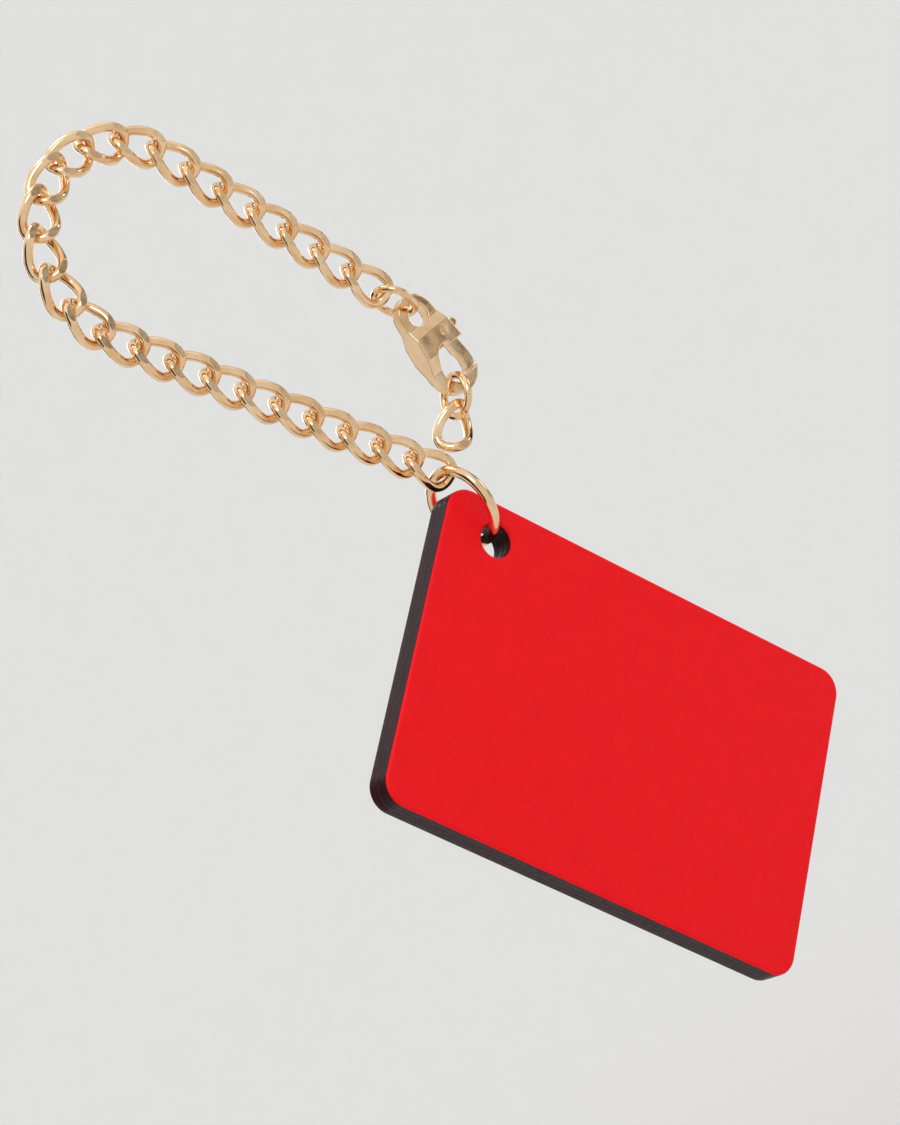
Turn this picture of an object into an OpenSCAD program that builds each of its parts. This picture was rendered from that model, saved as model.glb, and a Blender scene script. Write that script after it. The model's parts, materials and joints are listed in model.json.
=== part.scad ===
/* [Tag] */
// Length of the tag along its long sides
tag_l = 50; // [48:0.5:56]
// Width of the tag along its short sides
tag_w = 34.5; // [33:0.5:40]
// Radius of the tag's corners
corner_r = 2.5; // [1.5:0.1:3]
// Thickness of the front leather
front_t = 1.3; // [1.1:0.1:1.6]
// Thickness of the filler between the leathers
filler_t = 0.8; // [0.7:0.05:1]
// Thickness of the back leather
back_t = 1.2; // [1:0.1:1.5]
// Radius of the hole that the ring passes through
hole_r = 1.75; // [1.7:0.05:1.9]

/* [Card pocket] */
// Length of the pocket along the tag's long side
pocket_l = 36.4; // [36:0.2:37]
// Depth of the pocket, from its mouth in the tag's top edge to its stop
pocket_d = 30.2; // [29:0.2:31]
// Length of the window in the back
window_l = 28; // [24:0.5:29]
// Height of the window in the back
window_h = 17; // [14:0.5:17]
// Thickness of the clear window
film_t = 0.25; // [0.2:0.05:0.3]
// Length of the name card
card_l = 35.4; // [33:0.2:35.6]
// Height of the name card
card_h = 28.6; // [27:0.2:28.8]
// Thickness of the name card
card_t = 0.35; // [0.3:0.05:0.4]
// Radius of the thumb notch at the pocket's mouth
notch_r = 5.2; // [4:0.2:5.4]

/* [Chain] */
// Diameter of the link wire
wire_d = 1; // [0.95:0.05:1.05]
// Distance from one link to the next
link_pitch = 3.9; // [3.8:0.05:4]
// Outer width of a link
link_w = 4.3; // [4.2:0.05:4.4]
// Thickness between a link's two ground faces
link_t = 2.08; // [2:0.02:2.1]
// Twist of a link at each end, away from its flat middle
link_twist = 44; // [42:1:45]
// Rise of the front run towards the tag, from the line of the tag's long side
run_angle = 4.9; // [3:0.1:7]

/* [Rings and clasp] */
// Diameter of the tag ring, measured between wire centres
ring_d = 8; // [8:0.1:9]
// Diameter of the tag ring's wire
ring_wire = 1.1; // [1:0.05:1.2]
// Diameter of the small rings, measured between wire centres
small_ring_d = 4.2; // [4.1:0.1:4.4]
// Diameter of the small rings' wire
small_wire = 0.8; // [0.7:0.05:0.85]
// Thickness of the clasp's body
clasp_t = 2.4; // [2.2:0.1:2.6]

/* [Hidden] */
$fn = 64;
two = [for (i = [0:99]) str(floor(i / 10), i % 10)];

// Numbers of links: front run, its turn, the turn past the handle, back run
run_links = 10;
turn_links = 5;
back_turn_links = 2;
back_links = 7;
turn_step = 21.1;
front_count = run_links + turn_links;
back_count = back_turn_links + back_links;
link_count = front_count + 1 + back_count;

// Small gaps
ring_touch = 0.12;
link_play = 0.15;
fit_gap = 0.05;
bend_play = 0.1;

// The plane of the tag and chain: x along the tag's long side, y along its
// short side, z out of its front. The tag's lower left corner is the zero.
tag_t = front_t + filler_t + back_t;
hole = [6.2, tag_w - 3.9];
tag_mid = [tag_l / 2, tag_w / 2];
// Turn that brings the tag's middle straight under its hole
tilt = atan2(tag_mid.x - hole.x, hole.y - tag_mid.y);
up = [-sin(tilt), cos(tilt)];
function dir(a) = [cos(a), sin(a)];
function sum(v, n) = n < 0 ? [0, 0] : v[n] + sum(v, n - 1);

// The tag ring stands in the hole and holds the last front link at its top
ring_low = hole + up * 0.55;
ring_top = ring_low + up * ring_d;

// Link centreline: an oval of half sizes link_a and link_b
link_a = (link_pitch + wire_d + link_play) / 2;
link_b = (link_w - wire_d) / 2;
link_eye = link_a - wire_d / 2 - ring_touch;

// Headings of the links from the tag ring, along the front run and back
function heading(i) = 180 + run_angle - turn_step * clamp(i - run_links + 1, 0, 9);
function clamp(x, lo, hi) = min(max(x, lo), hi);
headings = [for (i = [0:link_count - 1]) heading(i)];
first_link = ring_top + dir(headings[0]) * (link_eye - ring_wire / 2 - bend_play / 2);
steps = [for (i = [0:link_count - 1]) i == 0 ? first_link
    : (dir(headings[i - 1]) + dir(headings[i])) * link_pitch / 2];
link_at = [for (i = [0:link_count - 1]) sum(steps, i)];

// Middle of the loop's upper turn, where the bag's handle passes
turn_r = link_pitch / (2 * sin(turn_step / 2));
turn_from = link_at[front_count];
hold = turn_from + dir(headings[front_count] - 90) * turn_r;

// Clasp ring, clasp, end ring and the short side link above the tag ring
clasp_turn = -32;
end_turn = -65;
side_turn = -97;
eye_r = 1.25;
eye_play = 0.25;
last = link_count - 1;
clasp_ring_from = link_at[last] + dir(headings[last]) * (link_eye - small_wire / 2);
clasp_ring_to = clasp_ring_from + dir(headings[last]) * small_ring_d;
clasp_at = clasp_ring_to + dir(clasp_turn) * (eye_r - small_wire / 2 - eye_play);
hook = [6.98, -0.47];
end_ring_from = clasp_at + hook.x * dir(clasp_turn) + hook.y * dir(clasp_turn + 90);
end_ring_to = end_ring_from + dir(end_turn) * small_ring_d;
side_link_at = end_ring_to + dir(side_turn) * (link_eye - small_wire / 2 - bend_play);

function front_name(i) = str("front_link_", two[i + 1]);
function back_name(i) = str("back_link_", two[i + 1]);

leather = [0.75, 0.03, 0.06];
dark = [0.16, 0.02, 0.03];
gold = [0.86, 0.68, 0.42];

// Hangs the flat layout from the handle: long side down to the right
module hang() {
    rotate([0, tilt, 0]) rotate([90, 0, 0]) translate([-hold.x, -hold.y, 0]) children();
}

module place(at, turn = 0) {
    hang() translate([at.x, at.y, 0]) rotate([0, 0, turn]) children();
}

// ---- Tag ----

module tag_outline() {
    r = corner_r;
    translate([r, 0]) square([tag_l - 2 * r, tag_w]);
    translate([0, r]) square([tag_l, tag_w - 2 * r]);
    for (x = [r, tag_l - r], y = [r, tag_w - r]) translate([x, y]) circle(r);
}

module layer(low, thick) {
    translate([0, 0, low]) linear_extrude(thick) children();
}

module hole_cut() {
    translate([hole.x, hole.y, -tag_t]) cylinder(r = hole_r, h = 2 * tag_t);
}

pocket_from = 10.6;
pocket_low = tag_w - pocket_d;
pocket_mid = pocket_from + pocket_l / 2;
window_low = pocket_low + 3.3;
front_low = tag_t / 2 - front_t;
filler_low = front_low - filler_t;

module front_panel() {
    color(leather) hang() difference() {
        layer(front_low, front_t) tag_outline();
        hole_cut();
    }
}

module filler() {
    color(dark) hang() difference() {
        layer(filler_low, filler_t) difference() {
            tag_outline();
            translate([pocket_from, pocket_low]) square([pocket_l, pocket_d + 1]);
        }
        hole_cut();
    }
}

module back_panel() {
    color(leather) hang() difference() {
        layer(-tag_t / 2, back_t) difference() {
            tag_outline();
            translate([pocket_mid - window_l / 2, window_low]) square([window_l, window_h]);
            translate([pocket_mid, tag_w]) circle(notch_r);
        }
        hole_cut();
    }
}

module window_film() {
    rim = 1.6;
    color([0.85, 0.9, 0.95, 0.35]) hang() layer(filler_low, film_t)
        translate([pocket_mid - window_l / 2 - rim, window_low - rim])
            square([window_l + 2 * rim, window_h + 2 * rim]);
}

module name_card() {
    color("ivory") hang() layer(filler_low + film_t + 0.08, card_t)
        translate([pocket_mid - card_l / 2, pocket_low + 0.1]) square([card_l, card_h]);
}

// ---- Chain ----

// A round wire bent to an oval, twisted along its length and ground flat
link_steps = 20;
link_sides = 8;
link_power = 2 / 2.6;
function bent(x) = sign(x) * pow(abs(x), link_power);
function roll(t) = link_twist * bent(cos(t));
function mid(t) = let (y = link_b * bent(sin(t)))
    [link_a * bent(cos(t)), y * cos(roll(t)), y * sin(roll(t))];
function unit(v) = v / norm(v);
function wire_point(t, s) = let (
    along = unit(mid(t + 0.05) - mid(t - 0.05)),
    out = unit(cross([0, -sin(roll(t)), cos(roll(t))], along)),
    over = cross(along, out),
    p = mid(t) + wire_d / 2 * 1.04 * (cos(s) * out + sin(s) * over))
    [p.x, p.y, clamp(p.z, -link_t / 2, link_t / 2)];

module curb_link() {
    points = [for (i = [0:link_steps - 1], j = [0:link_sides - 1])
        wire_point(i * 360 / link_steps, (j + 0.5) * 360 / link_sides)];
    function at(i, j) = (i % link_steps) * link_sides + j % link_sides;
    faces = [for (i = [0:link_steps - 1], j = [0:link_sides - 1], k = [0, 1])
        k == 0 ? [at(i, j), at(i + 1, j + 1), at(i, j + 1)]
               : [at(i, j), at(i + 1, j), at(i + 1, j + 1)]];
    color(gold) polyhedron(points, faces);
}

module chain_link(i) {
    place(link_at[i], headings[i]) curb_link();
}

module wire_ring(d, wire) {
    color(gold) rotate_extrude() translate([d / 2, 0]) circle(d = wire);
}

// A ring that stands across the plane, and cuts it at two points
module standing_ring(from, to, wire) {
    across = to - from;
    place((from + to) / 2, atan2(across.y, across.x))
        rotate([90, 0, 0]) wire_ring(norm(across), wire);
}

module tag_ring() {
    standing_ring(ring_low, ring_top, ring_wire);
}

// ---- Clasp ----
// The clasp lies along x from its eye, and its hook bends round to a gate on +y

nose_at = [6.1, 0];
nose_r = 3;
wall = 1.35;
pin_at = [2.75, 1.15];
pin_r = 0.4;
root_r = 0.8;
slot_t = 1.3;
lever_low = -0.6;
lever_t = 0.8;
spring_low = 0.28;
spring_t = 0.3;
gate_from = 1.85;
gate_r = 4.9;
gate_low = 0.2;

module clasp_outline() {
    hull() {
        circle(eye_r + 1.05);
        translate(nose_at) circle(nose_r);
    }
}

module hook_space() {
    hull() {
        translate([4.95, -0.15]) circle(1.2);
        translate([nose_at.x + 0.15, 0]) circle(nose_r - wall);
    }
}

// The body seen from its edge: full thickness at the pin, thin at eye and hook
module clasp_profile() {
    thin = 0.65;
    full = clasp_t / 2;
    hook_half = 0.6;
    polygon([[-3, -thin], [0.8, -thin], [2, -full], [4.2, -full], [5.8, -hook_half],
        [10, -hook_half], [10, hook_half], [5.8, hook_half], [4.2, full], [2, full],
        [0.8, thin], [-3, thin]]);
}

// What the lever's end can sweep, on the gate's side
module gate(r) {
    intersection() {
        translate(pin_at) circle(r);
        translate([gate_from, gate_low]) square([10, 2 * nose_r]);
    }
}

module pin_cut(r) {
    translate([pin_at.x, pin_at.y, -clasp_t]) cylinder(r = r, h = 2 * clasp_t);
}

module clasp_body() {
    color(gold) place(clasp_at, clasp_turn) difference() {
        intersection() {
            layer(-clasp_t / 2, clasp_t) difference() {
                clasp_outline();
                hook_space();
                difference() {
                    gate(gate_r);
                    translate([gate_from, 0]) square([4.2 - gate_from, 9]);
                }
            }
            translate([0, 5, 0]) rotate([90, 0, 0]) linear_extrude(10) clasp_profile();
        }
        // Slot for the lever's root and its spring, then the pin and the eye
        layer(-slot_t / 2, slot_t) gate(gate_r);
        pin_cut(pin_r);
        translate([0, 0, -clasp_t]) cylinder(r = eye_r, h = 2 * clasp_t);
    }
}

module lever_outline() {
    difference() {
        union() {
            intersection() {
                clasp_outline();
                gate(gate_r - fit_gap);
                translate([3.2, 1.35]) square([9, nose_r]);
            }
            translate(pin_at) circle(root_r);
            translate([3.3, 1.9]) circle(0.9);
        }
        hook_space();
    }
    // Thumb tab
    hull() {
        translate([3.3, 2.3]) circle(0.5);
        translate([2.7, 3.6]) circle(0.45);
    }
}

module clasp_lever() {
    color(gold) place(clasp_at, clasp_turn) difference() {
        layer(lever_low, lever_t) lever_outline();
        pin_cut(pin_r + fit_gap);
    }
}

module clasp_pin() {
    color(gold) place(clasp_at, clasp_turn) translate([pin_at.x, pin_at.y, -clasp_t / 2])
        cylinder(r = pin_r, h = clasp_t);
}

// A spring wound on the pin beside the lever, with one leg along the slot's
// floor and one under the lever
module clasp_spring() {
    leg_w = 0.2;
    coil_r = 0.7;
    color("silver") place(clasp_at, clasp_turn) layer(spring_low, spring_t) difference() {
        translate(pin_at) union() {
            circle(coil_r);
            translate([-0.75, -coil_r]) square([0.75, leg_w]);
            rotate(25) translate([0, coil_r - leg_w]) square([1.5, leg_w]);
        }
        translate(pin_at) circle(pin_r + fit_gap);
    }
}

module side_link() {
    place(side_link_at, side_turn) curb_link();
}

front_panel();
filler();
back_panel();
window_film();
name_card();
tag_ring();
for (i = [0:front_count - 1])
    chain_link(i);
chain_link(front_count);  // handle_link
for (i = [0:back_count - 1])
    chain_link(front_count + 1 + i);
standing_ring(clasp_ring_from, clasp_ring_to, small_wire);  // clasp_ring
clasp_body();
clasp_lever();
clasp_pin();
clasp_spring();
standing_ring(end_ring_from, end_ring_to, small_wire);  // end_ring
side_link();
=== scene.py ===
import json
import math

import bmesh
import bpy
from mathutils import Matrix, Vector


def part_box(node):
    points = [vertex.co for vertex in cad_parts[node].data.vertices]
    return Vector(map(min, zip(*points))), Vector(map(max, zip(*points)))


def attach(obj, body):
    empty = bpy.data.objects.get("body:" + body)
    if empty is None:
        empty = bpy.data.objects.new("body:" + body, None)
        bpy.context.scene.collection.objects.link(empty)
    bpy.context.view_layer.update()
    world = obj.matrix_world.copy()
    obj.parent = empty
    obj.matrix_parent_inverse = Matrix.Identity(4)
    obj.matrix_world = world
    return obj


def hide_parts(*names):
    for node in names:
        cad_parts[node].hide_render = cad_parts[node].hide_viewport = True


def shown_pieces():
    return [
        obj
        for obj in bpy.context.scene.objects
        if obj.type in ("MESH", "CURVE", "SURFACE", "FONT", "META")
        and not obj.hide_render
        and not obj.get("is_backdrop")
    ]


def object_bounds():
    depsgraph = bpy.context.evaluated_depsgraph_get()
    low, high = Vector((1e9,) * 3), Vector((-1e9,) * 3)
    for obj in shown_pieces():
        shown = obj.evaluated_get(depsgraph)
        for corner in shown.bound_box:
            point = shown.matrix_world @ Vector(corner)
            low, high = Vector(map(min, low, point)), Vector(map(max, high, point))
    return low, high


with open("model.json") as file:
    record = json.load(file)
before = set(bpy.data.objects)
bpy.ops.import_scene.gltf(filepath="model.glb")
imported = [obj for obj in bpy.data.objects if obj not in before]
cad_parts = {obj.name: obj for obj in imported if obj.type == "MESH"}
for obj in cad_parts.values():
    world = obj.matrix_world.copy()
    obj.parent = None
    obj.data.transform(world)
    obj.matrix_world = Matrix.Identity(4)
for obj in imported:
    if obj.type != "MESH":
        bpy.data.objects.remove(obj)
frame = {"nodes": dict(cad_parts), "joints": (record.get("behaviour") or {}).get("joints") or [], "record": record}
cadLow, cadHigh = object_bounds()
scene = bpy.context.scene
scene.view_settings.view_transform = "Standard"

mounts = {m["name"]: m for m in frame["record"]["mounts"]}
joints = {j["name"]: j for j in frame["joints"]}

# The tag and the chain share one plane. outward leaves the tag's front face, longSide
# runs along its long side, from one face's mount to the other's, and shortSide along
# its short side
outward = Vector(mounts["tag_front_face"]["axis"])
frontPoint = Vector(mounts["tag_front_face"]["pos_m"])
backPoint = Vector(mounts["tag_back_face"]["pos_m"])
longSide = (backPoint - frontPoint).cross(outward).cross(outward) * -1
longSide.normalize()
shortSide = outward.cross(longSide)

cameraSettings = {
    "towardsCamera": Vector((-0.612, -0.785, 0.087)),
    "imageUp": Vector((0.478, -0.282, 0.831)),
    "lens": 110,
    "sensor": 36,
    "imageWidth": 900,
    "imageHeight": 1125,
    "margin": 1.1,  # empty border round the object
    "clip": (0.01, 20),
}


def makeCamera(settings):
    back = settings["towardsCamera"].normalized()
    right = settings["imageUp"].cross(back).normalized()
    up = back.cross(right)
    axes = (right, up, back)
    points = [v.co for node in frame["nodes"].values() for v in node.data.vertices]
    spans = []
    for axis in axes:
        along = [p.dot(axis) for p in points]
        spans.append((min(along), max(along)))
    middle = sum((axis * (low + high) / 2 for axis, (low, high) in zip(axes, spans)),
                 Vector())
    wide, tall = (high - low for low, high in spans[:2])
    tallEnough = wide * settings["imageHeight"] / settings["imageWidth"]
    shown = max(tall, tallEnough) * settings["margin"]
    distance = shown * settings["lens"] / settings["sensor"]
    data = bpy.data.cameras.new("camera")
    data.lens = settings["lens"]
    data.sensor_width = settings["sensor"]
    data.clip_start, data.clip_end = settings["clip"]
    camera = bpy.data.objects.new("camera", data)
    turn = Matrix(axes).transposed().to_4x4()
    camera.matrix_world = Matrix.Translation(middle + back * distance) @ turn
    scene.collection.objects.link(camera)
    scene.camera = camera


makeCamera(cameraSettings)
print("camera placed")


def startMaterial(name, **sockets):
    # Returns the material, its shader, and Object coordinates in millimetres
    material = bpy.data.materials.new(name)
    material.use_nodes = True
    nodes, links = material.node_tree.nodes, material.node_tree.links
    shader = nodes["Principled BSDF"]
    for socket, value in sockets.items():
        shader.inputs[socket.replace("_", " ")].default_value = value
    place = nodes.new("ShaderNodeTexCoord")
    millimetres = nodes.new("ShaderNodeMapping")
    millimetres.inputs["Scale"].default_value = (1000, 1000, 1000)
    links.new(place.outputs["Object"], millimetres.inputs["Vector"])
    return material, shader, millimetres.outputs["Vector"]


def noise(material, where, scale, detail=3, roughness=0.5, stretch=None):
    nodes, links = material.node_tree.nodes, material.node_tree.links
    if stretch:
        mapping = nodes.new("ShaderNodeMapping")
        mapping.inputs["Scale"].default_value = stretch
        links.new(where, mapping.inputs["Vector"])
        where = mapping.outputs["Vector"]
    texture = nodes.new("ShaderNodeTexNoise")
    texture.inputs["Scale"].default_value = scale
    texture.inputs["Detail"].default_value = detail
    texture.inputs["Roughness"].default_value = roughness
    links.new(where, texture.inputs["Vector"])
    return texture.outputs["Fac"]


def cells(material, where, scale):
    nodes, links = material.node_tree.nodes, material.node_tree.links
    texture = nodes.new("ShaderNodeTexVoronoi")
    texture.inputs["Scale"].default_value = scale
    links.new(where, texture.inputs["Vector"])
    return texture.outputs["Distance"]


def spread(material, value, low, high):
    # Noise stays near its middle, so only that part of it is spread from low to high
    nodes, links = material.node_tree.nodes, material.node_tree.links
    mapped = nodes.new("ShaderNodeMapRange")
    mapped.inputs["From Min"].default_value = 0.3
    mapped.inputs["From Max"].default_value = 0.7
    mapped.inputs["To Min"].default_value = low
    mapped.inputs["To Max"].default_value = high
    links.new(value, mapped.inputs["Value"])
    return mapped.outputs["Result"]


def colours(material, value, stops):
    nodes, links = material.node_tree.nodes, material.node_tree.links
    ramp = nodes.new("ShaderNodeValToRGB")
    elements = ramp.color_ramp.elements
    elements[0].position, elements[0].color = stops[0][0], (*stops[0][1], 1)
    elements[1].position, elements[1].color = stops[-1][0], (*stops[-1][1], 1)
    for position, colour in stops[1:-1]:
        elements.new(position).color = (*colour, 1)
    links.new(value, ramp.inputs["Fac"])
    return ramp.outputs["Color"]


def relief(material, shader, layers):
    # Layers of (height, depth in metres), each bump on top of the last
    nodes, links = material.node_tree.nodes, material.node_tree.links
    below = None
    for height, depth in layers:
        bump = nodes.new("ShaderNodeBump")
        bump.inputs["Strength"].default_value = 1
        bump.inputs["Distance"].default_value = depth
        links.new(height, bump.inputs["Height"])
        if below:
            links.new(below, bump.inputs["Normal"])
        below = bump.outputs["Normal"]
    links.new(below, shader.inputs["Normal"])


# In the material dictionaries a noise is (scale per mm, detail, roughness), and a
# roughness range is (glossiest, dullest)
leatherSettings = {
    "sockets": {"Coat_Weight": 0.03, "Coat_Roughness": 0.2, "Specular_IOR_Level": 0.17},
    "colours": [(0.3, (0.87, 0.0006, 0.005)),
                (0.5, (0.91, 0.0008, 0.006)),
                (0.72, (0.94, 0.0012, 0.007))],
    "cloud": (0.45, 6, 0.6),
    "gloss": (1.3, 4),
    "roughness": (0.36, 0.5),
    "crease": (0.35, 2),
    "creaseDepth": 0.00006,
    "poresPerMm": 3.4,
    "poreDepth": 0.00003,
    "grain": (7, 3),
    "grainDepth": 0.000018,
}


def makeLeather(name, settings):
    material, shader, where = startMaterial(name, **settings["sockets"])
    links = material.node_tree.links
    cloud = noise(material, where, *settings["cloud"])
    links.new(colours(material, cloud, settings["colours"]), shader.inputs["Base Color"])
    gloss = noise(material, where, *settings["gloss"])
    links.new(spread(material, gloss, *settings["roughness"]), shader.inputs["Roughness"])
    relief(material, shader, [
        (noise(material, where, *settings["crease"]), settings["creaseDepth"]),
        (cells(material, where, settings["poresPerMm"]), settings["poreDepth"]),
        (noise(material, where, *settings["grain"]), settings["grainDepth"]),
    ])
    return material


edgeSettings = {
    "sockets": {"Coat_Weight": 0.03, "Coat_Roughness": 0.2, "Specular_IOR_Level": 0.1},
    "colours": [(0.3, (0.012, 0.001, 0.003)),
                (0.75, (0.034, 0.002, 0.006))],
    "cloud": (0.7, 4),
    "gloss": (2.2, 3),
    "roughness": (0.3, 0.46),
    "brush": (1.1, 2),
    "brushDepth": 0.00002,
    "bubbles": (9, 3),
    "bubbleDepth": 0.000005,
}


def makeEdgePaint(name, settings):
    material, shader, where = startMaterial(name, **settings["sockets"])
    links = material.node_tree.links
    cloud = noise(material, where, *settings["cloud"])
    links.new(colours(material, cloud, settings["colours"]), shader.inputs["Base Color"])
    gloss = noise(material, where, *settings["gloss"])
    links.new(spread(material, gloss, *settings["roughness"]), shader.inputs["Roughness"])
    relief(material, shader, [
        (noise(material, where, *settings["brush"]), settings["brushDepth"]),
        (noise(material, where, *settings["bubbles"]), settings["bubbleDepth"]),
    ])
    return material


goldSettings = {
    "colours": [(0.3, (0.80, 0.50, 0.26)),
                (0.5, (0.90, 0.62, 0.36)),
                (0.7, (0.95, 0.72, 0.47))],
    "cloud": (0.45, 3),
    "gloss": (2.4, 5, 0.6),
    "scratches": (2, 4, 0.6),
    "scratchDepth": 0.0000012,
    "wave": (0.3, 1),
    "waveDepth": 0.00004,
    # Each finish has a roughness range and the way its scratches are stretched
    "finishes": {
        "polished": ((0.07, 0.15), (3, 3, 3)),
        "ground": ((0.1, 0.2), (9, 2, 9)),
    },
}


def makeGold(name, settings, finish):
    roughness, stretch = settings["finishes"][finish]
    material, shader, where = startMaterial(name, Metallic=1.0)
    links = material.node_tree.links
    cloud = noise(material, where, *settings["cloud"])
    links.new(colours(material, cloud, settings["colours"]), shader.inputs["Base Color"])
    gloss = noise(material, where, *settings["gloss"])
    links.new(spread(material, gloss, *roughness), shader.inputs["Roughness"])
    relief(material, shader, [
        (noise(material, where, *settings["scratches"], stretch), settings["scratchDepth"]),
        (noise(material, where, *settings["wave"]), settings["waveDepth"]),
    ])
    return material


filmSettings = {
    "sockets": {"Base_Color": (0.9, 0.93, 0.94, 1), "Alpha": 0.16, "IOR": 1.45},
    "gloss": (0.5, 4),
    "roughness": (0.05, 0.14),
    "wave": (0.2, 2),
    "waveDepth": 0.00001,
}


def makeFilm(name, settings):
    material, shader, where = startMaterial(name, **settings["sockets"])
    links = material.node_tree.links
    gloss = noise(material, where, *settings["gloss"])
    links.new(spread(material, gloss, *settings["roughness"]), shader.inputs["Roughness"])
    relief(material, shader, [
        (noise(material, where, *settings["wave"]), settings["waveDepth"])])
    return material


cardSettings = {
    "sockets": {"Specular_IOR_Level": 0.3},
    "colours": [(0.35, (0.82, 0.79, 0.70)),
                (0.65, (0.88, 0.86, 0.80))],
    "pulp": (5, 6, 0.7),
    "gloss": (3, 4),
    "roughness": (0.72, 0.86),
    "fibres": (6, 6, 0.7),
    "fibreStretch": (1, 4, 1),
    "fibreDepth": 0.000006,
}


def makeCard(name, settings):
    material, shader, where = startMaterial(name, **settings["sockets"])
    links = material.node_tree.links
    pulp = noise(material, where, *settings["pulp"])
    links.new(colours(material, pulp, settings["colours"]), shader.inputs["Base Color"])
    gloss = noise(material, where, *settings["gloss"])
    links.new(spread(material, gloss, *settings["roughness"]), shader.inputs["Roughness"])
    fibres = noise(material, where, *settings["fibres"], settings["fibreStretch"])
    relief(material, shader, [(fibres, settings["fibreDepth"])])
    return material


steelSettings = {
    "colours": [(0.3, (0.5, 0.5, 0.5)),
                (0.7, (0.66, 0.66, 0.65))],
    "cloud": (3, 3),
    "gloss": (8, 3),
    "roughness": (0.22, 0.36),
    "drawn": (12, 3),
    "drawnDepth": 0.000001,
}


def makeSteel(name, settings):
    material, shader, where = startMaterial(name, Metallic=1.0)
    links = material.node_tree.links
    cloud = noise(material, where, *settings["cloud"])
    links.new(colours(material, cloud, settings["colours"]), shader.inputs["Base Color"])
    gloss = noise(material, where, *settings["gloss"])
    links.new(spread(material, gloss, *settings["roughness"]), shader.inputs["Roughness"])
    relief(material, shader, [
        (noise(material, where, *settings["drawn"]), settings["drawnDepth"])])
    return material


leather = makeLeather("redLeather", leatherSettings)
edgePaint = makeEdgePaint("edgePaint", edgeSettings)
polishedGold = makeGold("polishedGold", goldSettings, "polished")
groundGold = makeGold("groundGold", goldSettings, "ground")
clearFilm = makeFilm("clearFilm", filmSettings)
cardStock = makeCard("cardStock", cardSettings)
springSteel = makeSteel("springSteel", steelSettings)
print("materials made")

# Sizes from here on are in millimetres and angles in degrees, unless a note says metres
finishSettings = {
    "sharpFrom": 38,  # an edge sharper than this isn't shaded smooth
    "mergeWithin": 1e-6,  # metres
    "flatWithin": 0.6,  # triangles closer to one plane than this become one face
    "roundedFrom": 25,
}


def addPiece(bm, name, body, materials, node):
    # Turns a finished bmesh, already in the frame, into a piece on its body
    for face in bm.faces:
        face.smooth = True
    for edge in bm.edges:
        faces = edge.link_faces
        edge.smooth = (len(faces) == 2
                       and faces[0].material_index == faces[1].material_index
                       and edge.calc_face_angle() < math.radians(finishSettings["sharpFrom"]))
    mesh = bpy.data.meshes.new(name)
    bm.to_mesh(mesh)
    bm.free()
    piece = bpy.data.objects.new(name, mesh)
    scene.collection.objects.link(piece)
    for material in materials:
        mesh.materials.append(material)
    even = piece.modifiers.new("evenNormals", "WEIGHTED_NORMAL")
    even.keep_sharp = True
    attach(piece, body)
    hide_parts(node)


def copyOfNode(node):
    bm = bmesh.new()
    bm.from_mesh(frame["nodes"][node].data)
    bmesh.ops.remove_doubles(bm, verts=bm.verts, dist=finishSettings["mergeWithin"])
    bmesh.ops.dissolve_limit(bm, angle_limit=math.radians(finishSettings["flatWithin"]),
                             verts=bm.verts, edges=bm.edges, delimit={"NORMAL"})
    return bm


def roundEdges(bm, width, segments, chosen=None, corner=finishSettings["roundedFrom"]):
    sharp = [e for e in bm.edges if len(e.link_faces) == 2
             and e.calc_face_angle() > math.radians(corner) and (not chosen or chosen(e))]
    bmesh.ops.bevel(bm, geom=sharp, offset=width / 1000, offset_type="OFFSET",
                    segments=segments, profile=0.5, affect="EDGES", material=-1,
                    clamp_overlap=True)


def placed(middle, along):
    # From a piece's own millimetres, x along and z out of the front, into the frame
    side = outward.cross(along)
    turn = Matrix((along, side, outward)).transposed().to_4x4()
    return Matrix.Translation(middle) @ turn @ Matrix.Scale(0.001, 4)


def turnedInPlane(degrees):
    turn = math.radians(degrees)
    return longSide * math.cos(turn) + shortSide * math.sin(turn)


def middleOf(node):
    low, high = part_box(node)
    return (low + high) / 2


linkSettings = {
    "wire": 1.0,
    "wireEase": 0.97,  # a little thinner, so that linked wires stay clear
    "pitch": 3.9,
    "play": 0.15,
    "width": 4.3,
    "thickness": 2.08,  # over the two ground faces
    "twist": 44,
    "ovalPower": 2 / 2.6,
    "steps": 112,
    "sides": 24,
    "sideLinkTurn": -97,
}


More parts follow.
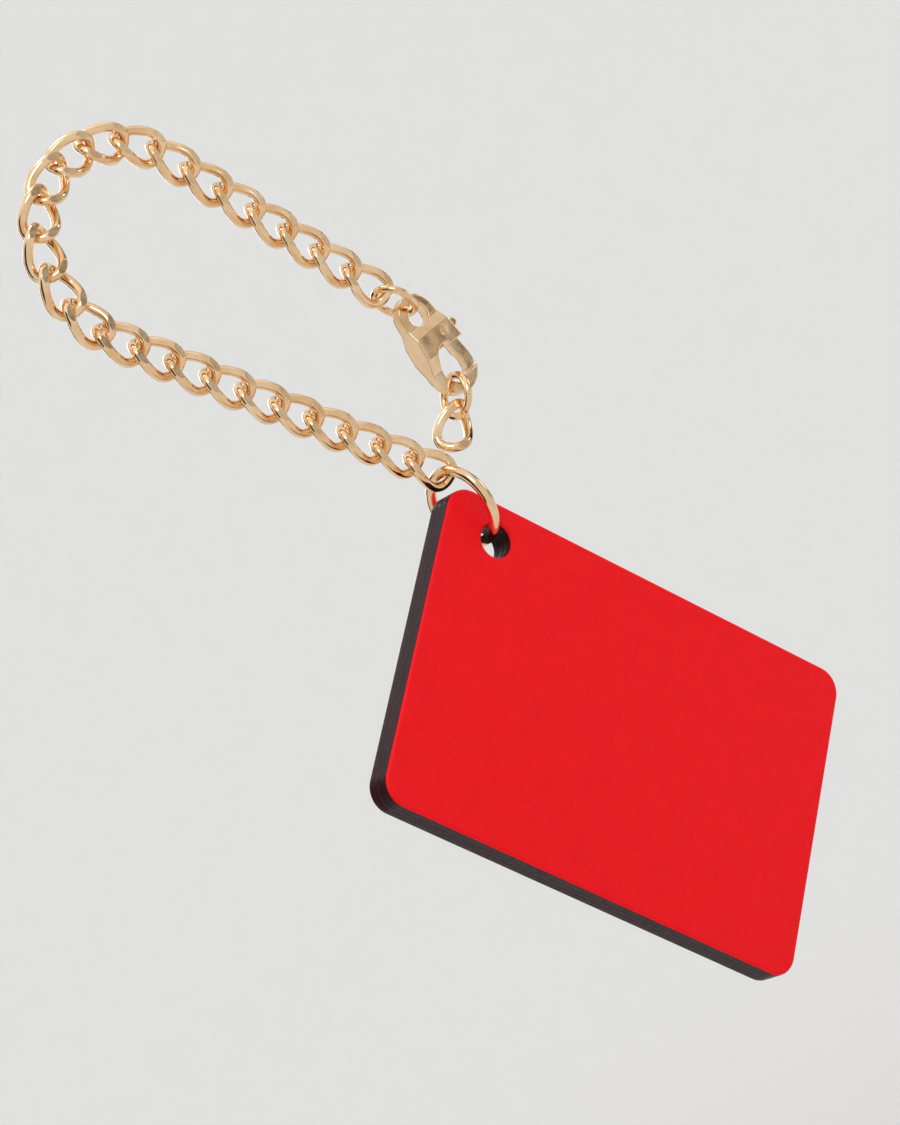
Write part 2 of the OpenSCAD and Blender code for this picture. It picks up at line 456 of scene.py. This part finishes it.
def curbLink(settings):
    # A torus of wire, bent to an oval, twisted along its length and ground flat
    wireR = settings["wire"] / 2 * settings["wireEase"]
    longHalf = (settings["pitch"] + settings["wire"] + settings["play"]) / 2
    wideHalf = (settings["width"] - settings["wire"]) / 2
    twist = math.radians(settings["twist"])
    torusR = 10  # any radius does, because every point is moved to the oval
    halfStep = 0.002  # radians

    def bent(x):
        return math.copysign(abs(x) ** settings["ovalPower"], x)

    def roll(t):
        return twist * bent(math.cos(t))

    def centre(t):
        y = wideHalf * bent(math.sin(t))
        return Vector((longHalf * bent(math.cos(t)), y * math.cos(roll(t)),
                       y * math.sin(roll(t))))

    bm = bmesh.new()
    stand = Matrix.Translation((torusR, 0, 0)) @ Matrix.Rotation(math.pi / 2, 4, "X")
    bmesh.ops.create_circle(bm, segments=settings["sides"], radius=wireR, matrix=stand)
    bmesh.ops.spin(bm, geom=bm.verts[:] + bm.edges[:], cent=(0, 0, 0), axis=(0, 0, 1),
                   angle=2 * math.pi, steps=settings["steps"], use_merge=True)
    for v in bm.verts:
        t = math.atan2(v.co.y, v.co.x)
        apart, height = math.hypot(v.co.x, v.co.y) - torusR, v.co.z
        along = (centre(t + halfStep) - centre(t - halfStep)).normalized()
        out = along.cross(Vector((0, -math.sin(roll(t)), math.cos(roll(t))))).normalized()
        v.co = centre(t) + out * apart + out.cross(along) * height
    for side in (1, -1):
        cut = bmesh.ops.bisect_plane(
            bm, geom=bm.verts[:] + bm.edges[:] + bm.faces[:], dist=1e-5,
            plane_co=(0, 0, side * settings["thickness"] / 2), plane_no=(0, 0, side),
            clear_outer=True)
        rim = [e for e in cut["geom_cut"] if isinstance(e, bmesh.types.BMEdge)]
        for face in bmesh.ops.holes_fill(bm, edges=rim, sides=0)["faces"]:
            face.material_index = 1
    bmesh.ops.recalc_face_normals(bm, faces=bm.faces)
    return bm


linkShape = curbLink(linkSettings)
linkMesh = bpy.data.meshes.new("linkShape")
linkShape.to_mesh(linkMesh)
linkShape.free()


def headingOf(node):
    # A front link points at its joint, and a back link away from it
    joint = next(j for j in joints.values()
                 if j["name"].startswith("link_bend") and j["child"] == node)
    ahead = Vector(joint["pos_m"]) - middleOf(node)
    return (ahead if node.startswith("front") else -ahead).normalized()


def addLink(node, along):
    bm = bmesh.new()
    bm.from_mesh(linkMesh)
    bm.transform(placed(middleOf(node), along))
    addPiece(bm, node + "_wire", node, [polishedGold, groundGold], node)


chainNodes = sorted(n for n in frame["nodes"] if n.startswith(("front_link", "back_link")))
for node in chainNodes:
    addLink(node, headingOf(node))
addLink("handle_link", (middleOf("back_link_01") - middleOf("front_link_15")).normalized())
addLink("side_link", turnedInPlane(linkSettings["sideLinkTurn"]))
print("chain made:", len(chainNodes) + 2, "links")

ringSettings = {
    "seamGap": 0.7,
    "endRound": 0.06,
    "endSegments": 3,
    "sides": 28,
    "steps": 120,
    # Each ring's size across, wire, the turn that its seam is at, and the joint it hangs by
    "rings": {
        "tag_ring": (8.0, 1.1, 262, "hanging_ring_swing"),
        "clasp_ring": (4.2, 0.77, 75, "clasp_ring_swing"),
        "end_ring": (4.2, 0.8, 75, "end_ring_swing"),
    },
}


def addRing(node, size, wire, seamTurn, hangsBy):
    # Bent round wire whose two ends meet in a fine butt seam
    bm = bmesh.new()
    stand = Matrix.Translation((size / 2, 0, 0)) @ Matrix.Rotation(math.pi / 2, 4, "X")
    bmesh.ops.create_circle(bm, segments=ringSettings["sides"], radius=wire / 2,
                            matrix=stand, cap_ends=True)
    bmesh.ops.spin(bm, geom=bm.faces[:], cent=(0, 0, 0), axis=(0, 0, 1),
                   angle=math.radians(360 - ringSettings["seamGap"]),
                   steps=ringSettings["steps"])
    bmesh.ops.recalc_face_normals(bm, faces=bm.faces)
    ends = [f for f in bm.faces if len(f.verts) > 4]
    rims = list({e for f in ends for e in f.edges})
    bmesh.ops.bevel(bm, geom=rims, offset=ringSettings["endRound"], offset_type="OFFSET",
                    segments=ringSettings["endSegments"], profile=0.5, affect="EDGES",
                    material=-1, clamp_overlap=True)
    # The ring's own axis lies in the plane, square to the way it is pulled
    axis = Vector(joints[hangsBy]["axis"])
    across = axis.cross(outward).normalized()
    turn = Matrix((across, outward, across.cross(outward))).transposed().to_4x4()
    seam = Matrix.Rotation(math.radians(seamTurn), 4, "Z")
    bm.transform(Matrix.Translation(middleOf(node)) @ turn @ Matrix.Scale(0.001, 4) @ seam)
    addPiece(bm, node + "_wire", node, [polishedGold], node)


for node, ring in ringSettings["rings"].items():
    addRing(node, *ring)
print("rings made")

claspSettings = {
    "grain": 0.05,
    "smoothing": 0.5,
    "bodyPasses": 34,
    "leverPasses": 16,
    "pinEdge": 0.1,
    "pinSegments": 4,
}


def addCast(node, name, body, passes):
    # A casting has no sharp edge: fine even cells, then smoothed, at millimetre scale
    bm = copyOfNode(node)
    bm.transform(Matrix.Scale(1000, 4))
    mesh = bpy.data.meshes.new(name + "Rough")
    bm.to_mesh(mesh)
    bm.free()
    rough = bpy.data.objects.new(name + "Rough", mesh)
    scene.collection.objects.link(rough)
    evenCells = rough.modifiers.new("evenCells", "REMESH")
    evenCells.mode = "VOXEL"
    evenCells.voxel_size = claspSettings["grain"]
    softEdges = rough.modifiers.new("softEdges", "SMOOTH")
    softEdges.factor = claspSettings["smoothing"]
    softEdges.iterations = passes
    bpy.context.view_layer.update()
    cast = bpy.data.meshes.new_from_object(
        rough.evaluated_get(bpy.context.evaluated_depsgraph_get()))
    bpy.data.objects.remove(rough)
    bm = bmesh.new()
    bm.from_mesh(cast)
    bm.transform(Matrix.Scale(0.001, 4))
    print(" ", name, len(bm.faces), "faces")
    addPiece(bm, name, body, [polishedGold], node)


addCast("clasp_body", "clasp_body_cast", "clasp", claspSettings["bodyPasses"])
addCast("clasp_lever", "clasp_lever_cast", "clasp_lever", claspSettings["leverPasses"])
pinShape = copyOfNode("clasp_pin")
roundEdges(pinShape, claspSettings["pinEdge"], claspSettings["pinSegments"])
addPiece(pinShape, "clasp_pin_rivet", "clasp", [polishedGold], "clasp_pin")

springSettings = {
    "wire": 0.13,
    "coil": 0.56,
    "turns": 1.9,
    "rise": 0.15,  # for each turn
    "firstAngle": 115,
    "legs": (1.3, 0.45),
    "claspTurn": -32,
    "sides": 12,
    "steps": 64,
}


def addSpring(settings):
    # A leg under the lever, two close turns round the pin, a leg on the slot's wall
    bm = bmesh.new()
    start = math.radians(settings["firstAngle"])
    sweep = math.radians(360 * settings["turns"])
    steps = settings["steps"]
    stand = (Matrix.Rotation(start, 4, "Z") @ Matrix.Translation((settings["coil"], 0, 0))
             @ Matrix.Rotation(math.pi / 2, 4, "X"))
    bmesh.ops.create_circle(bm, segments=settings["sides"], radius=settings["wire"] / 2,
                            matrix=stand)
    first = bm.edges[:]
    turned = bmesh.ops.spin(bm, geom=bm.verts[:] + bm.edges[:], cent=(0, 0, 0),
                            axis=(0, 0, 1), angle=sweep, steps=steps,
                            dvec=(0, 0, settings["rise"] * settings["turns"] / steps))
    last = [e for e in turned["geom_last"] if isinstance(e, bmesh.types.BMEdge)]
    finish = start + sweep
    headings = (Vector((math.sin(start), -math.cos(start), 0)),
                Vector((-math.sin(finish), math.cos(finish), 0)))
    for edges, heading, length in zip((first, last), headings, settings["legs"]):
        leg = bmesh.ops.extrude_edge_only(bm, edges=edges)["geom"]
        verts = [v for v in leg if isinstance(v, bmesh.types.BMVert)]
        bmesh.ops.translate(bm, verts=verts, vec=heading * length)
        rim = [e for e in leg if isinstance(e, bmesh.types.BMEdge) and e.is_boundary]
        bmesh.ops.holes_fill(bm, edges=rim, sides=0)
    bmesh.ops.recalc_face_normals(bm, faces=bm.faces)
    pin = Vector(joints["clasp_lever_press"]["pos_m"])
    middle = Vector((pin.x, middleOf("clasp_spring").y, pin.z))
    middle -= outward * settings["rise"] * settings["turns"] / 2 / 1000
    bm.transform(placed(middle, turnedInPlane(settings["claspTurn"])))
    addPiece(bm, "clasp_spring_wire", "clasp", [springSteel], "clasp_spring")


addSpring(springSettings)
print("clasp made")

tagSettings = {
    "corner": 60,  # only edges sharper than this are rolled
    "faceRoll": 0.38,
    "faceSegments": 5,
    "innerRoll": 0.05,
    "innerSegments": 3,
    "faceWithin": 1e-5,  # metres from the grain side
    "innerBeyond": 5e-4,  # metres from the grain side
    "paint": (-0.9, 0.35),  # how far the painted faces look back and forward
    "fillerRoll": 0.05,
    "filmEdge": 0.05,
    "cardEdge": 0.04,
    "sheetSegments": 3,
}


def addLeatherPanel(node, name, faceSide):
    # The grain side gets a soft roll, the glued side a fine one
    bm = copyOfNode(node)
    corner = tagSettings["corner"]

    def level(v):
        return v.co.dot(outward) * faceSide

    face = max(level(v) for v in bm.verts)

    def onFace(edge):
        return all(level(v) > face - tagSettings["faceWithin"] for v in edge.verts)

    def onInside(edge):
        return all(level(v) < face - tagSettings["innerBeyond"] for v in edge.verts)

    roundEdges(bm, tagSettings["faceRoll"], tagSettings["faceSegments"], onFace, corner)
    roundEdges(bm, tagSettings["innerRoll"], tagSettings["innerSegments"], onInside, corner)
    # Paint covers the cut edge up to the roll of the grain side
    back, forward = tagSettings["paint"]
    for part in bm.faces:
        facing = part.normal.dot(outward) * faceSide
        part.material_index = 1 if back < facing < forward else 0
    addPiece(bm, name, "tag", [leather, edgePaint], node)


def addSheetPiece(node, name, body, material, edge):
    bm = copyOfNode(node)
    roundEdges(bm, edge, tagSettings["sheetSegments"], corner=tagSettings["corner"])
    addPiece(bm, name, body, [material], node)


addLeatherPanel("front_panel", "front_leather", 1)
addLeatherPanel("back_panel", "back_leather", -1)
addSheetPiece("filler", "filler_core", "tag", edgePaint,
              tagSettings["fillerRoll"])
addSheetPiece("window_film", "window_clear", "tag", clearFilm,
              tagSettings["filmEdge"])
addSheetPiece("name_card", "name_card_paper", "name_card", cardStock,
              tagSettings["cardEdge"])
print("tag made")

# Metres and watts
studioSettings = {
    "floorDrop": 0.03,
    "floorRadius": 0.35,
    "floorSegments": 96,
    "wallHeight": 0.4,
    "sweep": 1.6,
    "sweepSteps": 16,
    "paper": {"Base_Color": (0.88, 0.88, 0.875, 1), "Roughness": 0.9,
              "Specular_IOR_Level": 0.2},
    "world": 1.0,
    "lights": [
        # name, place, size, watts
        ("keyLight", (-0.16, -0.22, 0.24), 0.14, 0.22),
        ("fillLight", (0.30, -0.10, 0.06), 0.12, 0.08),
        ("topLight", (0.03, 0.06, 0.32), 0.12, 0.14),
        ("backLight", (0.12, 0.30, 0.08), 0.14, 0.14),
    ],
    "cloth": [(0, (0.01, 0.01, 0.01)), (1, (0.02, 0.02, 0.02))],
    "clothWeave": 0.2,
    "cards": [
        # name, place, size
        ("rightCard", (0.42, -0.02, -0.02), (0.26, 0.5)),
        ("leftCard", (-0.38, 0.04, 0.04), (0.26, 0.5)),
        ("backCard", (-0.1, 0.38, -0.02), (0.22, 0.4)),
        ("lowCard", (0.02, -0.05, -0.3), (0.34, 0.26)),
        ("firstStrip", (0.32, -0.24, 0.02), (0.022, 0.4)),
        ("secondStrip", (0.27, -0.30, 0.02), (0.016, 0.4)),
        ("thirdStrip", (0.21, -0.34, 0.02), (0.026, 0.4)),
    ],
}


def addStagePiece(bm, name, material):
    mesh = bpy.data.meshes.new(name)
    bm.to_mesh(mesh)
    bm.free()
    mesh.materials.append(material)
    piece = bpy.data.objects.new(name, mesh)
    scene.collection.objects.link(piece)
    piece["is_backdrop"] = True
    return piece


def makeFloor(settings, centre):
    # A round floor whose rim sweeps up into a wall, seen the same from all sides
    paper = startMaterial("studioPaper", **settings["paper"])[0]
    bm = bmesh.new()
    radius, sweep = settings["floorRadius"], settings["sweep"]
    bmesh.ops.create_circle(bm, segments=settings["floorSegments"], radius=radius,
                            cap_ends=True)
    rim = [e for e in bm.edges if e.is_boundary]
    for step in range(1, settings["sweepSteps"] + 1):
        turn = math.radians(90 * step / settings["sweepSteps"])
        wide = radius + sweep * math.sin(turn)
        tall = sweep * (1 - math.cos(turn))
        ring = bmesh.ops.extrude_edge_only(bm, edges=rim)["geom"]
        rim = [e for e in ring if isinstance(e, bmesh.types.BMEdge) and e.is_boundary]
        for v in ring:
            if isinstance(v, bmesh.types.BMVert):
                flat = Vector((v.co.x, v.co.y, 0)).normalized() * wide
                v.co = (flat.x, flat.y, tall)
    ring = bmesh.ops.extrude_edge_only(bm, edges=rim)["geom"]
    bmesh.ops.translate(bm, verts=[v for v in ring if isinstance(v, bmesh.types.BMVert)],
                        vec=(0, 0, settings["wallHeight"]))
    bmesh.ops.translate(bm, verts=bm.verts,
                        vec=(centre.x, centre.y, cadLow.z - settings["floorDrop"]))
    bmesh.ops.reverse_faces(bm, faces=[f for f in bm.faces if f.normal.z < 0])
    for face in bm.faces:
        face.smooth = True
    addStagePiece(bm, "studioFloor", paper)


def lightWorld(settings):
    world = bpy.data.worlds.new("studioWorld")
    world.use_nodes = True
    background = world.node_tree.nodes["Background"]
    background.inputs["Color"].default_value = (1, 1, 1, 1)
    background.inputs["Strength"].default_value = settings["world"]
    scene.world = world


def addLights(settings, centre):
    # The lamps light the object alone, so the paper stays even
    lit = bpy.data.collections.new("litPieces")
    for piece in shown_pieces():
        lit.objects.link(piece)
    for name, place, size, watts in settings["lights"]:
        data = bpy.data.lights.new(name, "AREA")
        data.shape = "DISK"
        data.size = size
        data.energy = watts
        light = bpy.data.objects.new(name, data)
        light.location = centre + Vector(place)
        light.rotation_mode = "QUATERNION"
        light.rotation_quaternion = Vector(place).to_track_quat("Z", "Y")
        light.visible_camera = False
        light.light_linking.receiver_collection = lit
        scene.collection.objects.link(light)


def addDarkCards(settings, centre):
    # Only gloss can see these, and they give the gold its dark sides
    darkCloth, shader, where = startMaterial("darkCloth", Roughness=1.0)
    weave = noise(darkCloth, where, settings["clothWeave"])
    darkCloth.node_tree.links.new(colours(darkCloth, weave, settings["cloth"]),
                                  shader.inputs["Base Color"])
    for name, place, size in settings["cards"]:
        bm = bmesh.new()
        turn = Vector(place).to_track_quat("Z", "Y").to_matrix().to_4x4()
        bmesh.ops.create_grid(bm, x_segments=2, y_segments=2, size=0.5,
                              matrix=Matrix.Translation(centre + Vector(place)) @ turn
                              @ Matrix.Diagonal((*size, 1, 1)))
        card = addStagePiece(bm, name, darkCloth)
        card.visible_camera = False
        card.visible_diffuse = False
        card.visible_transmission = False
        card.visible_volume_scatter = False
        card.visible_shadow = False


studioCentre = (cadLow + cadHigh) / 2
makeFloor(studioSettings, studioCentre)
lightWorld(studioSettings)
addLights(studioSettings, studioCentre)
addDarkCards(studioSettings, studioCentre)
print("studio made")
